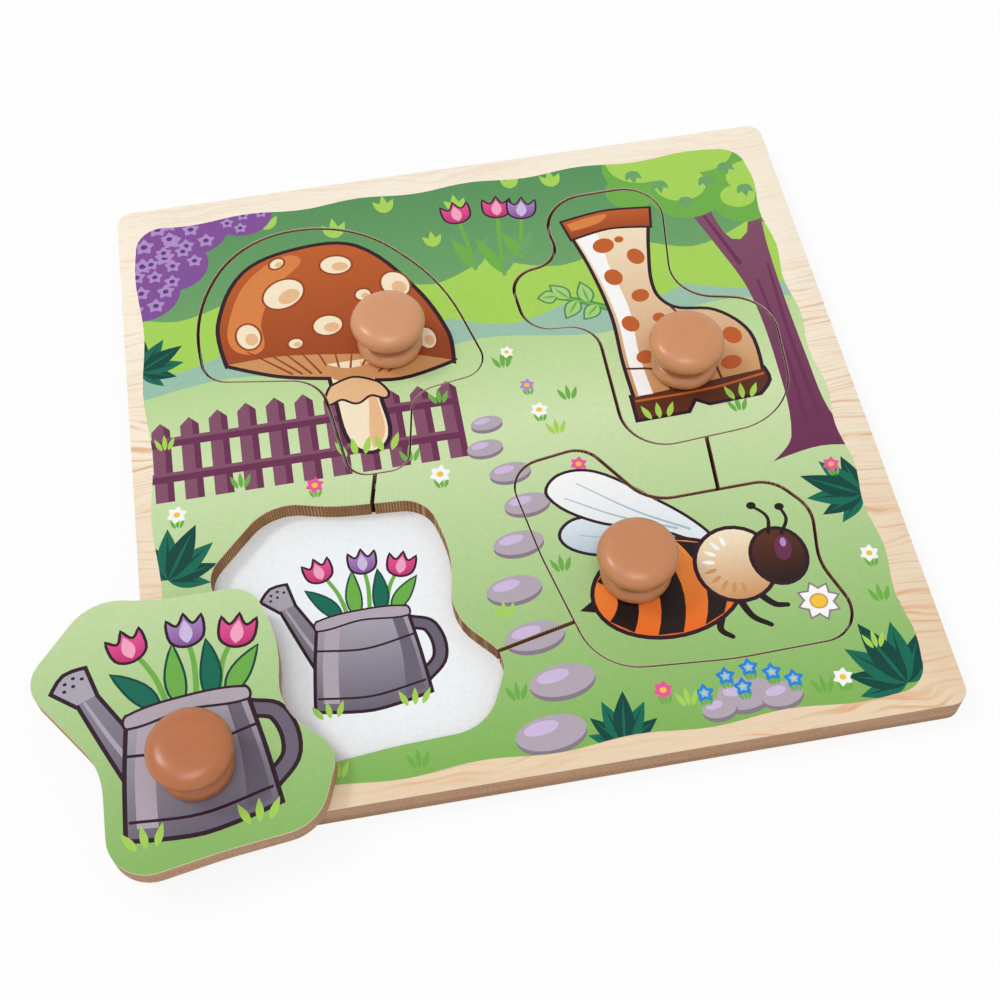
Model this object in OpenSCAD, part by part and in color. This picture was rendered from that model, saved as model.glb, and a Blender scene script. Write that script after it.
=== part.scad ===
// Peg puzzle: a veneered, printed board sawn into a frame and four lift-out pieces with turned knobs.
// Millimetres, +Z up. The origin is the centre of the underside, on which the puzzle rests.

/* [Board] */
// Side of the square board
board_side = 225; // [180:1:320]
// Radius of the board's upright corners
board_corner_r = 5; // [2:0.5:12]
// Thickness of the backing board, the floor of the recesses
backing_t = 3; // [2:0.5:6]
// Thickness of the fibreboard core that is sawn into frame and pieces
core_t = 6; // [4:0.5:10]
// Thickness of the veneer glued on the core
veneer_t = 0.3; // [0.2:0.1:0.8]
// Thickness of a printed paper sheet
sheet_t = 0.12; // [0.08:0.02:0.3]

/* [Printed picture] */
// Bare veneer left around the picture
print_border = 7.5; // [5:0.5:10]
// How far the picture sits to the left of the board's middle
print_left = 1.8; // [0:0.1:3]
// How far the picture sits in front of the board's middle
print_front = 1.4; // [0:0.1:3]
// Radius of the picture's corners
print_corner_r = 9; // [5:0.5:20]
// Height of the waves along the picture's edge
wave_h = 0.8; // [0.2:0.1:1.2]

/* [Pieces] */
// Board kept clear around the two rows and columns of pieces
cell_margin = 12.5; // [10:0.5:20]
// Width of the saw cut round each piece
kerf = 0.85; // [0.6:0.05:2]
// Width of the slits by which the saw went from one cut-out to the next
slit_w = 1.3; // [0.8:0.1:2]
// Share of the saw cut by which each seated piece has slid off the middle of its cut-out
slide_share = 0.45; // [0:0.05:0.5]

/* [Piece out of its recess] */
// How far the loose piece lies to the left of its recess
lay_left = 51; // [40:1:60]
// How far the loose piece lies in front of its recess
lay_front = 25; // [15:1:35]
// How far the loose piece is turned, in degrees
lay_turn = 4.2; // [-10:0.2:10]

/* [Knobs] */
// Diameter of the cap
cap_d = 23.4; // [20:0.2:28]
// Radius of the cap's shoulder
shoulder_r = 3.1; // [2:0.1:5]
// Radius of the cap's crowned top
crown_r = 45; // [30:1:90]
// Diameter of the base bead
bead_d = 20.8; // [19:0.2:22]
// Radius of the bead's round edge
bead_r = 2.7; // [2:0.1:3.5]
// Diameter of the flat foot that is screwed to the piece
foot_d = 18; // [16:0.2:20]
// Width of the round groove between bead and cap
groove_w = 3.2; // [1:0.1:5]

/* [Screws] */
// Diameter of the shank
screw_d = 3.5; // [2.5:0.1:4]
// Diameter of the countersunk head
head_d = 7; // [6:0.2:8]
// How far the head lies below the piece's underside
head_sink = 0.3; // [0.1:0.1:1]
// How far the screw goes into the knob
screw_bite = 9; // [6:0.5:11]
// Length of the screw's point
point_l = 3; // [2:0.5:4]
// Width of a slot of the cross recess in the head
cross_w = 1; // [0.8:0.1:1.4]
// Depth of the cross recess
cross_depth = 1.4; // [1:0.1:1.6]
// Gap between a screw and the wood around it
fit_gap = 0.05; // [0.02:0.01:0.1]

/* [Hidden] */
NAMES = ["mushroom", "boot", "bee", "can"];
LAYERS = ["board", "veneer", "print", "knob", "screw"];
TRAY = ["frame_board", "frame_veneer", "frame_print", "backing_board", "floor_sheet"];

// An arc is drawn in steps of at most this many degrees
arc_step = 9;
// No chord of an arc lies further than this from the true curve
arc_flat = 0.04;
// A cut runs this far past the face that it starts from
past = 1;

// Levels of the stack
frame_z = backing_t + sheet_t;
piece_t = core_t + veneer_t + sheet_t;
top_z = frame_z + piece_t;

// The board has two rows and two columns of square cells, and each outline is drawn in hundredths of a cell
cell = board_side / 2 - cell_margin;
unit = cell / 100;
cell_middles = [[-50, 50], [50, 50], [50, -50], [-50, -50]];

// The saw line of each piece, counter-clockwise from its cell's middle: corners as [x, y, radius]
mushroom_line = [
    [-38, -14, 9], [-2, -20, 12], [3, -58, 7], [21, -58, 7], [26, -30, 10],
    [52, -26, 8], [42, 14, 70], [16, 44, 40], [-22, 44, 32], [-40, 14, 50]
];
boot_line = [
    [-12, -65, 14], [42, -61, 22], [46, -14, 15], [15, -7, 14], [22, 42, 13],
    [-22, 41, 14], [-17, 14, 9], [-36, 11, 9], [-34, -13, 10], [-12, -14, 10]
];
bee_line = [
    [-36, -35, 18], [2, -38, 90], [43, -37, 10], [34, -12, 18], [37, 6, 12],
    [28, 18, 11], [-10, 17, 14], [-25, 40, 9], [-50, 36, 10], [-45, 4, 60]
];
can_line = [
    [-27, -50, 12], [4, -47, 90], [30, -46, 14], [39, -26, 9], [25, -10, 18], [29, 10, 40],
    [24, 30, 10], [-4, 32, 60], [-22, 37, 16], [-44, 14, 10], [-25, -16, 24]
];
saw_lines = [mushroom_line, boot_line, bee_line, can_line];

// Where each knob stands, from its cell's middle
knob_spots = [[21.7, -10.1], [11.6, -35.5], [-19.3, -6.6], [0.7, -21.8]];

// The way in which each seated piece has slid, in degrees from +X
slide_ways = [-55, -50, -135];

// The slits by which the saw went from one cut-out to the next: [from piece, point, to piece, point]
slits = [
    [0, [12, -52], 3, [7, 26]],
    [1, [13, -55], 2, [11, 12]],
    [3, [32, -25], 2, [-37, -18]]
];

// Waves on the picture's front, right, back and left edges, in half waves
edge_waves = [9, 13, 10, 8];
// Points drawn on each half wave
wave_steps = 6;

// Knob profile, worked out from its round stretches: the bead, the groove's cove and the cap's underside
// all touch each other at the same distance from the axis
touch_r = bead_d / 2 - bead_r;
bead_z = sqrt(bead_r ^ 2 - (foot_d / 2 - touch_r) ^ 2);
cove_r = groove_w / 2;
cove_z = bead_z + bead_r + cove_r;
under_r = cap_d / 2 - touch_r;
rim_z = cove_z + cove_r + under_r;
crown_z = rim_z - sqrt((crown_r - shoulder_r) ^ 2 - (cap_d / 2 - shoulder_r) ^ 2);
shoulder_end = atan2(rim_z - crown_z, cap_d / 2 - shoulder_r);

// Points of an arc about a centre, from one angle to another
function arc(centre, r, from, to) =
    let (
        step = min(arc_step, 2 * acos(1 - arc_flat / r)),
        steps = max(1, ceil(abs(to - from) / step))
    )
    [for (i = [0:steps]) let (a = from + (to - from) * i / steps) centre + r * [cos(a), sin(a)]];

function xy(p) = [p.x, p.y];
function toward(from, to) = (xy(to) - xy(from)) / norm(xy(to) - xy(from));
function ahead(list, i) = list[(i + 1) % len(list)];
function behind(list, i) = list[(i + len(list) - 1) % len(list)];

// +1 where the outline turns left at corner i, -1 where it turns right
function bend(line, i) =
    sign(cross(toward(behind(line, i), line[i]), toward(line[i], ahead(line, i))));

// Half the angle between the two edges at corner i
function half_angle(line, i) =
    acos(toward(line[i], behind(line, i)) * toward(line[i], ahead(line, i))) / 2;

// Unit vector from corner i to the middle of the angle between its edges
function bisector(line, i) =
    let (sum = toward(line[i], behind(line, i)) + toward(line[i], ahead(line, i)))
    sum / norm(sum);

// The same outline with every edge moved outwards, and its radii changed to stay parallel
function widen(line, by) = [
    for (i = [0:len(line) - 1])
        let (
            turn = bend(line, i),
            corner = xy(line[i]) - bisector(line, i) * turn * by / sin(half_angle(line, i))
        )
        [corner.x, corner.y, line[i][2] + turn * by]
];

// The outline's points, with each corner rounded by an arc
function rounded(line) = [
    for (i = [0:len(line) - 1])
        let (
            r = line[i][2],
            half = half_angle(line, i),
            centre = xy(line[i]) + bisector(line, i) * r / sin(half),
            middle = -bisector(line, i),
            facing = atan2(middle.y, middle.x),
            sweep = bend(line, i) * (90 - half)
        )
        each arc(centre, r, facing - sweep, facing + sweep)
];

function scaled(line) = [for (corner = line) corner * unit];
function square_line(side, r) = [
    for (s = [[-1, -1], [1, -1], [1, 1], [-1, 1]]) [s.x * side / 2, s.y * side / 2, r]
];

// One edge of the picture, along +X through the origin, waving to either side
function wavy_edge(length, waves) = [
    for (i = [1:waves * wave_steps - 1])
        let (share = i / (waves * wave_steps))
        [length * (share - 0.5), -wave_h * sin(180 * waves * share)]
];
function turned(points, a) = [
    for (p = points) [p.x * cos(a) - p.y * sin(a), p.x * sin(a) + p.y * cos(a)]
];

// The picture's outline: four wavy edges joined by round corners
picture_side = board_side - 2 * print_border;
picture_straight = picture_side - 2 * print_corner_r;
picture_points = [
    for (i = [0:3])
        each turned(concat(
            [for (p = wavy_edge(picture_straight, edge_waves[i])) p + [0, -picture_side / 2]],
            arc([1, -1] * picture_straight / 2, print_corner_r, -90, 0)
        ), 90 * i)
];

// The turned knob's half section, from its foot to the top of its crown
knob_points = concat(
    [[0, 0]],
    arc([touch_r, bead_z], bead_r, atan2(-bead_z, foot_d / 2 - touch_r), 90),
    arc([touch_r, cove_z], cove_r, 270, 90),
    arc([touch_r, rim_z], under_r, -90, 0),
    arc([cap_d / 2 - shoulder_r, rim_z], shoulder_r, 0, shoulder_end),
    arc([0, crown_z], crown_r, shoulder_end, 90)
);

// Levels of a screw, from the underside of its piece
head_cone = (head_d - screw_d) / 2;
screw_end = piece_t + screw_bite;

// Middle of piece i's cell on the board
function middle(i) = cell_middles[i] * unit;

module cut_out(i)
    translate(middle(i)) polygon(rounded(widen(scaled(saw_lines[i]), kerf / 2)));

module piece_outline(i)
    polygon(rounded(widen(scaled(saw_lines[i]), -kerf / 2)));

module slit(s) {
    from = middle(s[0]) + s[1] * unit;
    to = middle(s[2]) + s[3] * unit;
    translate(from)
        rotate(atan2(to.y - from.y, to.x - from.x))
            translate([0, -slit_w / 2])
                square([norm(to - from), slit_w]);
}

module board_outline()
    polygon(rounded(square_line(board_side, board_corner_r)));

module picture_outline()
    translate([-print_left, -print_front]) polygon(picture_points);

// A layer of the frame: the given outline, with the cut-outs and slits sawn out
module sawn_layer(z, thickness)
    translate([0, 0, z])
        linear_extrude(thickness)
            difference() {
                children();
                for (i = [0:3]) cut_out(i);
                for (s = slits) slit(s);
            }

// Puts a piece where it is in the photograph: three are seated, the last lies on the board's corner
module in_place(i) {
    loose = i == len(NAMES) - 1;
    way = slide_ways[i];
    shift = loose ? [-lay_left, -lay_front] : slide_share * kerf * [cos(way), sin(way)];
    translate([middle(i).x + shift.x, middle(i).y + shift.y, loose ? top_z : frame_z])
        rotate(loose ? lay_turn : 0)
            children();
}

module at_knob(i)
    translate(knob_spots[i] * unit) children();

// The screw's shape, also used to bore its hole with a gap around it
module screw_solid(gap)
    rotate_extrude()
        polygon([
            [0, head_sink - gap],
            [head_d / 2 + gap, head_sink - gap],
            [head_d / 2 + gap, head_sink],
            [screw_d / 2 + gap, head_sink + head_cone],
            [screw_d / 2 + gap, screw_end - point_l],
            [gap, screw_end + gap],
            [0, screw_end + gap]
        ]);

// The hole for a screw, open below its head
module screw_hole()
    union() {
        screw_solid(fit_gap);
        translate([0, 0, -past]) cylinder(h = head_sink + past, d = head_d + 2 * fit_gap);
    }

// A layer of piece i, from the underside of the piece
module piece_layer(i, z, thickness)
    in_place(i)
        difference() {
            translate([0, 0, z]) linear_extrude(thickness) piece_outline(i);
            at_knob(i) screw_hole();
        }

module frame_board()
    color("#a87f5e") sawn_layer(frame_z, core_t) board_outline();

module frame_veneer()
    color("#ead9bd") sawn_layer(frame_z + core_t, veneer_t) board_outline();

module frame_print()
    color("#9ccb74") sawn_layer(frame_z + core_t + veneer_t, sheet_t) picture_outline();

module backing_board()
    color("#9b7353") linear_extrude(backing_t) board_outline();

module floor_sheet()
    color("white") translate([0, 0, backing_t]) linear_extrude(sheet_t) board_outline();

module piece_board(i)
    color("#a87f5e") piece_layer(i, 0, core_t);

module piece_veneer(i)
    color("#ead9bd") piece_layer(i, core_t, veneer_t);

module piece_print(i)
    color(["#d98a52", "#f0d9a8", "#ef8a2c", "#9a97a3"][i]) piece_layer(i, core_t + veneer_t, sheet_t);

module piece_knob(i)
    color("#ca8b60")
        in_place(i)
            at_knob(i)
                difference() {
                    translate([0, 0, piece_t]) rotate_extrude() polygon(knob_points);
                    screw_hole();
                }

module piece_screw(i)
    color("silver")
        in_place(i)
            at_knob(i)
                difference() {
                    screw_solid(0);
                    for (a = [0, 90])
                        rotate(a)
                            translate([-head_d / 4, -cross_w / 2, head_sink - past])
                                cube([head_d / 2, cross_w, cross_depth + past]);
                }

frame_board();
frame_veneer();
frame_print();
backing_board();
floor_sheet();
for (i = [0:len(NAMES) - 1]) {
    piece_board(i);
    piece_veneer(i);
    piece_print(i);
    piece_knob(i);
    piece_screw(i);
}
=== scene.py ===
# %% [markdown]
# A wooden peg puzzle: a veneered board with a printed garden picture, sawn into a frame and four
# pieces. Each piece lifts out by a turned wooden knob, and one of them lies on the front left corner.
# The imported CAD model gives every size and place, in metres, so it is loaded first. The dressed
# model may not grow out of it.

# %% Load the imported model
from math import atan2, cos, pi, radians, sin, sqrt, tau

import bmesh
import bpy
import numpy as np
from mathutils import Matrix, Vector
from mathutils.geometry import delaunay_2d_cdt


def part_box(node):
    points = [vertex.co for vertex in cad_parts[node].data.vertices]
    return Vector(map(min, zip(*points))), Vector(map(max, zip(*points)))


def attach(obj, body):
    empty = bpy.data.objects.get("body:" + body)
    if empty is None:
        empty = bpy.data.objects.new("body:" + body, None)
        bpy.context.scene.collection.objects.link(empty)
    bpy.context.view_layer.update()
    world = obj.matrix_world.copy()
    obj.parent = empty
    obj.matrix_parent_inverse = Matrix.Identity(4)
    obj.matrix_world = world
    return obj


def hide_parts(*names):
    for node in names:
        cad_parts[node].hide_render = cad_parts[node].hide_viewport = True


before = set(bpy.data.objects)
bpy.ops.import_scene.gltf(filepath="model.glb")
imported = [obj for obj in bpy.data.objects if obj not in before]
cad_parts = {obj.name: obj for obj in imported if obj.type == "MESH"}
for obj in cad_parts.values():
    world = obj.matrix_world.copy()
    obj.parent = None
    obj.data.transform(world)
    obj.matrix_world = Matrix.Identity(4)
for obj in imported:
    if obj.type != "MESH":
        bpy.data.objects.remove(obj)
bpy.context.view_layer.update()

MM = 0.001
board_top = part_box("frame_print")[1].z / MM
print("loaded", len(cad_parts), "nodes, top of the board at", round(board_top, 2), "mm")

# %% [markdown]
# The photograph looks down at the board from the front left with a normal lens. The four corners of
# the board fix the camera: where it stands, the point it looks at, its roll and its focal length.
# Its optical axis passes a little left of the middle of the picture, hence the small shift.

# %% Camera
STAND = Vector((-41.62, -269.32, 396.16 + board_top)) * MM
LOOK_AT = Vector((-9.65, -23.33, board_top)) * MM
ROLL = radians(-2.635)
ahead = (LOOK_AT - STAND).normalized()
level = ahead.cross(Vector((0, 0, 1))).normalized()
upward = level.cross(ahead)
right = cos(ROLL) * level + sin(ROLL) * upward
above = cos(ROLL) * upward - sin(ROLL) * level
lens = bpy.data.cameras.new("photo_lens")
lens.lens = 56.08
lens.sensor_width = 36
lens.shift_x = 0.02
lens.clip_start = 0.01
camera = bpy.data.objects.new("photo_camera", lens)
turned = Matrix((right, above, -ahead)).transposed()
camera.matrix_world = Matrix.Translation(STAND) @ turned.to_4x4()
bpy.context.scene.collection.objects.link(camera)
bpy.context.scene.camera = camera
print("camera", [round(c, 3) for c in STAND], "m, lens", lens.lens, "mm")

# %% [markdown]
# Every finish here is mixed from nodes. Written node by node such a tree is long and hard to follow,
# so a small class wraps a socket and lets sums be written as sums: each operator adds a Math node.


# %% Sums on sockets
class Field:
    """A value that runs over a surface. Sums on it add Math nodes."""

    def __init__(self, finish, socket):
        self.finish = finish
        self.socket = socket

    def __add__(self, other):
        return self.finish.maths("ADD", self, other)

    def __radd__(self, other):
        return self.finish.maths("ADD", other, self)

    def __sub__(self, other):
        return self.finish.maths("SUBTRACT", self, other)

    def __rsub__(self, other):
        return self.finish.maths("SUBTRACT", other, self)

    def __mul__(self, other):
        return self.finish.maths("MULTIPLY", self, other)

    def __rmul__(self, other):
        return self.finish.maths("MULTIPLY", other, self)


print("a field takes +, - and *, with a number on either side")

# %% [markdown]
# Any other node comes from one method, which sets the node's options first and its sockets after. The
# methods below it are short names for the nodes that come up often. Lengths are in millimetres, so a
# grain is written by its real size.


# %% Mixing a finish
class Finish:
    """A material, or the world, while it is mixed: a node tree with one shader at its end."""

    def __init__(self, owner):
        self.owner = owner
        owner.use_nodes = True
        self.tree = owner.node_tree
        self.tree.nodes.clear()

    def node(self, kind, settings=None, sockets=None, output=0):
        new = self.tree.nodes.new(kind)
        for key, value in (settings or {}).items():
            setattr(new, key, value)
        for key, value in (sockets or {}).items():
            if isinstance(value, Field):
                self.tree.links.new(value.socket, new.inputs[key])
            else:
                new.inputs[key].default_value = value
        return Field(self, new.outputs[output]) if len(new.outputs) else new

    def maths(self, operation, first, second):
        return self.node("ShaderNodeMath", {"operation": operation}, {0: first, 1: second})

    def place(self, *stretch):
        """The spot on the piece in millimetres, each axis divided by a length in millimetres."""
        spot = self.node("ShaderNodeTexCoord", output="Object")
        sizes = [1 / (MM * length) for length in stretch]
        return self.node("ShaderNodeVectorMath", {"operation": "MULTIPLY"}, {0: spot, 1: sizes})

    def axis(self, spot, name):
        return self.node("ShaderNodeSeparateXYZ", {}, {0: spot}, name)

    def noise(self, spot, detail=2.0):
        return self.node("ShaderNodeTexNoise", {}, {"Vector": spot, "Scale": 1.0, "Detail": detail})

    def step(self, value, low, high):
        """0 below low, 1 above high, and a soft slope between."""
        sockets = {"Value": value, "From Min": low, "From Max": high}
        return self.node("ShaderNodeMapRange", {"interpolation_type": "SMOOTHSTEP"}, sockets)

    def mix(self, share, first, second, way="MIX"):
        settings = {"data_type": "RGBA", "blend_type": way}
        return self.node("ShaderNodeMix", settings, {0: share, 6: first, 7: second}, 2)

    def bump(self, height, depth):
        """Dents and ridges of that depth in millimetres."""
        return self.node("ShaderNodeBump", {}, {"Height": height, "Distance": depth * MM, "Strength": 1.0})

    def done(self, shader, end="ShaderNodeOutputMaterial"):
        self.node(end, {}, {"Surface": shader})
        print("finish", self.owner.name, "with", len(self.tree.nodes), "nodes")
        return self.owner

    def painted(self, sockets):
        """Ends a material with the everyday shader, fed by these sockets."""
        return self.done(self.node("ShaderNodeBsdfPrincipled", {}, sockets))


# %% Materials and colours
def material(name):
    return Finish(bpy.data.materials.new(name))


def colour(text):
    """A colour written as six hex digits, as linear red, green, blue and full cover."""
    parts = [int(text[i:i + 2], 16) / 255 for i in (0, 2, 4)]
    return [c / 12.92 if c < 0.04045 else ((c + 0.055) / 1.055) ** 2.4 for c in parts] + [1.0]


WHITE = colour("FFFFFF")
print("white in linear light is", WHITE)

# %% [markdown]
# The object stands in a light tent: even white light from all sides, a window at the left that rounds
# the knobs and casts the shadows, and a broad lamp overhead, a little to the front. Together they
# light a level surface about as bright as its colour is written. A sun with a wide disc is as soft as
# a window and just as bright at every spot. What is seen directly, or in a mirror, is the white of the
# tent's cloth, which is brighter than the light that it sheds.

# %% Light
TENT_LIGHT = 0.56


def seen_directly(mix):
    """1 for rays from the camera, from a mirror or through glass, and 0 for light on its way to things."""
    ways = ("Is Camera Ray", "Is Glossy Ray", "Is Transmission Ray")
    camera_ray, mirrored, through = [mix.node("ShaderNodeLightPath", output=way) for way in ways]
    return mix.maths("MAXIMUM", camera_ray, mix.maths("MAXIMUM", mirrored, through))


tent = Finish(bpy.data.worlds.new("light_tent"))
glow = TENT_LIGHT + seen_directly(tent) * (1 - TENT_LIGHT)
cloth = tent.node("ShaderNodeBackground", {}, {"Color": WHITE, "Strength": glow})
bpy.context.scene.world = tent.done(cloth, "ShaderNodeOutputWorld")


def window(name, from_spot, strength, width):
    """A sun that shines from that direction, with a disc that many degrees wide."""
    lamp = bpy.data.lights.new(name, "SUN")
    lamp.energy = strength
    lamp.angle = radians(width)
    holder = bpy.data.objects.new(name, lamp)
    holder.rotation_euler = Vector(from_spot).to_track_quat("Z", "Y").to_euler()
    bpy.context.scene.collection.objects.link(holder)


window("left_window", from_spot=(-0.54, 0.25, 0.80), strength=0.66, width=13)
window("top_lamp", from_spot=(-0.07, -0.33, 0.93), strength=0.80, width=28)
bpy.context.scene.view_settings.view_transform = "Standard"

# %% [markdown]
# The floor is a wide white sheet. Part of its white is its own for the camera, so that it fades into
# the background as in the photograph, and the rest is lit, so that it keeps the puzzle's soft shadow.

# %% Floor
FLOOR_HALF = 4000 * MM
FLOOR_DROP = 0.2 * MM
FLOOR_WHITE = (0.96, 0.96, 0.96, 1)
FLOOR_OWN_WHITE = 0.86
paper_floor = material("white_floor")
lit = paper_floor.node("ShaderNodeBsdfDiffuse", {}, {"Color": FLOOR_WHITE})
own = paper_floor.node("ShaderNodeEmission", {}, {"Color": WHITE, "Strength": 1.0})
share = seen_directly(paper_floor) * FLOOR_OWN_WHITE
surface = paper_floor.node("ShaderNodeMixShader", {}, {0: share, 1: lit, 2: own})
corners = [(x * FLOOR_HALF, y * FLOOR_HALF, 0) for x, y in ((-1, -1), (1, -1), (1, 1), (-1, 1))]
sheet = bpy.data.meshes.new("floor")
sheet.from_pydata(corners, [], [(0, 1, 2, 3)])
sheet.materials.append(paper_floor.done(surface))
floor = bpy.data.objects.new("floor", sheet)
floor.location.z = -FLOOR_DROP
bpy.context.scene.collection.objects.link(floor)
print("floor", 2 * FLOOR_HALF, "m wide")

# %% [markdown]
# The board is fibreboard: brown wood fibres pressed into a dense sheet. Its sawn edges show fine
# fibres lying in layers, and each stroke of the saw leaves an upright tick. A noise that is squeezed
# along the height gives the layers, and a wave along the cut gives the ticks, which come and go. The
# walls of the recesses and slits take a darker copy of the same fibreboard: partly scorch from the
# saw, partly painted shade of the deep recesses.

# %% Fibreboard
TICK_GAP = 0.85


def fibreboard(name, light, dark, tick, tick_share):
    mix = material(name)
    fibres = mix.noise(mix.place(0.9, 0.9, 0.35), 4.0)
    layers = mix.noise(mix.place(30.0, 30.0, 0.9), 2.0)
    patches = mix.step(mix.noise(mix.place(9.0, 9.0, 30.0), 1.0), 0.35, 0.65)
    spot = mix.place(TICK_GAP, TICK_GAP, TICK_GAP)
    strokes = mix.axis(spot, "X") + mix.axis(spot, "Y") * 0.6 + fibres * 0.5
    wave = mix.node("ShaderNodeMath", {"operation": "SINE"}, {0: strokes * tau})
    ticks = mix.step(wave, -0.2, 1.0) * (0.25 + patches * 0.75)
    share = mix.step(fibres * 0.7 + layers * 0.3, 0.3, 0.7)
    body = mix.mix(share, colour(dark), colour(light))
    marked = mix.mix(ticks * tick_share, body, colour(tick))
    height = fibres * 0.6 + ticks * tick_share * 0.4
    return mix.painted({"Base Color": marked, "Roughness": 0.68 + fibres * 0.2,
                        "Normal": mix.bump(height, 0.05), "Specular IOR Level": 0.15})


core_finish = fibreboard("pressed_fibre", "C9A486", "A07A5C", "CFAE90", 0.12)
# Darker copy for the recess walls: partly saw scorch, partly painted shade of the recesses.
shaded_wall_finish = fibreboard("sawn_wall_painted_shade", "9A7148", "765031", "CDA97C", 0.9)
backing_finish = fibreboard("backing_fibre", "BC987A", "94704F", "C2A182", 0.12)

# %% [markdown]
# The bare border is a thin veneer of pale wood. Its grain runs along the board from left to right in
# fine, nearly straight streaks, warmer than the wood between them, with short pores. A noise that is
# stretched along the grain gives the streaks, and a slow one sways them and gathers them in groups.
# Towards the back the sheet is painted paler, as painted light that is brighter at the back and
# dimmer at the front, and its streaks fade towards the back as well.

# %% Veneer
wood = material("pale_veneer")
spot = wood.place(1.0, 1.0, 1.0)
along = wood.axis(spot, "X")
across = wood.axis(spot, "Y")
sway = wood.noise(wood.place(48.0, 22.0, 40.0), 2.0) * 20.0
lines = wood.node("ShaderNodeCombineXYZ", {}, {"X": along * 0.018, "Y": (across + sway) * 0.8})
groups = wood.step(wood.noise(wood.place(60.0, 9.0, 40.0), 2.0), 0.38, 0.62)
strength = (0.2 + groups * 0.8) * (1 - wood.step(across, 5.0, 85.0) * 0.75)
streaks = wood.step(wood.noise(lines, 3.0), 0.45, 0.68) * strength
pores = wood.step(wood.noise(wood.place(5.0, 0.28, 5.0), 2.0), 0.56, 0.72)
# Painted light: the veneer is painted paler towards the back, and this slow noise makes its edge uneven.
light_falloff_wobble = wood.noise(wood.place(110.0, 26.0, 40.0), 1.0) * 90.0
tone = wood.mix(wood.step(across + light_falloff_wobble, -60.0, 110.0), colour("EDD6B6"), colour("FCF1DD"))
tone = wood.mix(streaks * 0.85, tone, colour("DFA06C"))
tone = wood.mix(pores * 0.3, tone, colour("DCB28C"))
veneer_finish = wood.painted({
    "Base Color": tone, "Roughness": 0.5 + pores * 0.2, "Specular IOR Level": 0.25,
    "Normal": wood.bump(1 - pores * 0.6 - streaks * 0.3, 0.02)})

# %% [markdown]
# The knobs are turned from pale wood and stained tan, under a satin lacquer that hides most of the
# grain. Each knob has a tone of its own. What is left of the grain is a faint streak and fine specks.
# The lacquer is a coat over the wood, so the window and the lamp show in it as soft patches.


# %% Knob lacquer
def lacquer(name, tone, speck):
    stain = material(name)
    figure = stain.step(stain.noise(stain.place(9.0, 2.6, 9.0), 2.0), 0.3, 0.7)
    specks = stain.noise(stain.place(0.5, 0.5, 0.5), 2.0)
    body = stain.mix((1 - figure) * 0.2, colour(tone), colour(speck))
    body = stain.mix(stain.step(specks, 0.6, 0.75) * 0.15, body, colour(speck))
    return stain.painted({
        "Base Color": body, "Roughness": 0.42 + specks * 0.08, "Normal": stain.bump(specks, 0.012),
        "Specular IOR Level": 0.25, "Coat Weight": 0.7, "Coat Roughness": 0.26})


knob_finishes = {
    "mushroom": lacquer("tan_lacquer", "D59569", "C28156"),
    "boot": lacquer("tan_lacquer_pale", "CE8C5D", "BD794B"),
    "bee": lacquer("tan_lacquer_warm", "C68254", "B26F43"),
    "can": lacquer("tan_lacquer_deep", "B76A3A", "A55B2D"),
}

# %% [markdown]
# The screws under the pieces are plain zinc-plated steel. Brushed metal is a bright metallic shader
# whose roughness changes in fine scratches.

# %% Screw steel
zinc = material("zinc_steel")
scratches = zinc.noise(zinc.place(2.0, 0.15, 2.0), 3.0)
screw_finish = zinc.painted({
    "Base Color": zinc.mix(scratches, colour("B9BABD"), colour("D6D6D2")), "Metallic": 1.0,
    "Roughness": 0.28 + scratches * 0.2, "Normal": zinc.bump(scratches, 0.01)})

# %% [markdown]
# The picture is printed on thin paper. The drawing itself is geometry: each flat area of ink is cut
# out as faces that carry their ink as a colour attribute, so every edge stays crisp at any size. The
# finish reads that colour and adds what a print has: a slight mottle of the ink and paper fibres
# under a satin varnish.

# %% Printed paper
PALEST_GREY = (0.95, 0.95, 0.95, 1)
ink = material("printed_paper")
laid = ink.node("ShaderNodeVertexColor", {"layer_name": "ink"})
mottle = ink.noise(ink.place(1.4, 1.4, 1.4), 3.0)
fibres = ink.noise(ink.place(0.5, 0.16, 0.5), 2.0)
grey = ink.mix(ink.step(mottle, 0.25, 0.75), PALEST_GREY, WHITE)
tone = ink.mix(1.0, laid, grey, "MULTIPLY")
tone = ink.mix(ink.step(fibres, 0.55, 0.8) * 0.03, tone, WHITE)
print_finish = ink.painted({
    "Base Color": tone, "Roughness": 0.42 + mottle * 0.14, "Specular IOR Level": 0.18,
    "Normal": ink.bump(fibres * 0.7 + mottle * 0.3, 0.012)})

# %% [markdown]
# The saw lines are already in the CAD model, so the outlines are read from its nodes instead of being
# typed again. A node's flat top is a patch of triangles, and an edge that only one of them uses lies
# on its rim. Chained together these edges give loops: counter-clockwise round the wood, and clockwise
# round a hole.

# %% Outlines from the nodes
FLAT_WITHIN = 0.01 * MM


def area(loop):
    """The area inside a loop, negative where it runs clockwise."""
    return sum(a[0] * b[1] - b[0] * a[1] for a, b in zip(loop, loop[1:] + loop[:1])) / 2


def top_loops(node):
    """The rims of a node's flat top as loops of (x, y) in millimetres, the outer one first."""
    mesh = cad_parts[node].data
    height = max(v.co.z for v in mesh.vertices) - FLAT_WITHIN
    used = set()
    for face in mesh.polygons:
        corners = [mesh.vertices[i].co for i in face.vertices]
        if min(c.z for c in corners) > height:
            ring = [(round(c.x / MM, 3), round(c.y / MM, 3)) for c in corners]
            used.update((a, b) for a, b in zip(ring, ring[1:] + ring[:1]) if a != b)
    following = {a: b for a, b in used if (b, a) not in used}
    loops = []
    while following:
        start = min(following)
        loop = [start]
        here = following.pop(start)
        while here != start:
            loop.append(here)
            here = following.pop(here)
        loops.append(loop)
    return sorted(loops, key=area, reverse=True)


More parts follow.
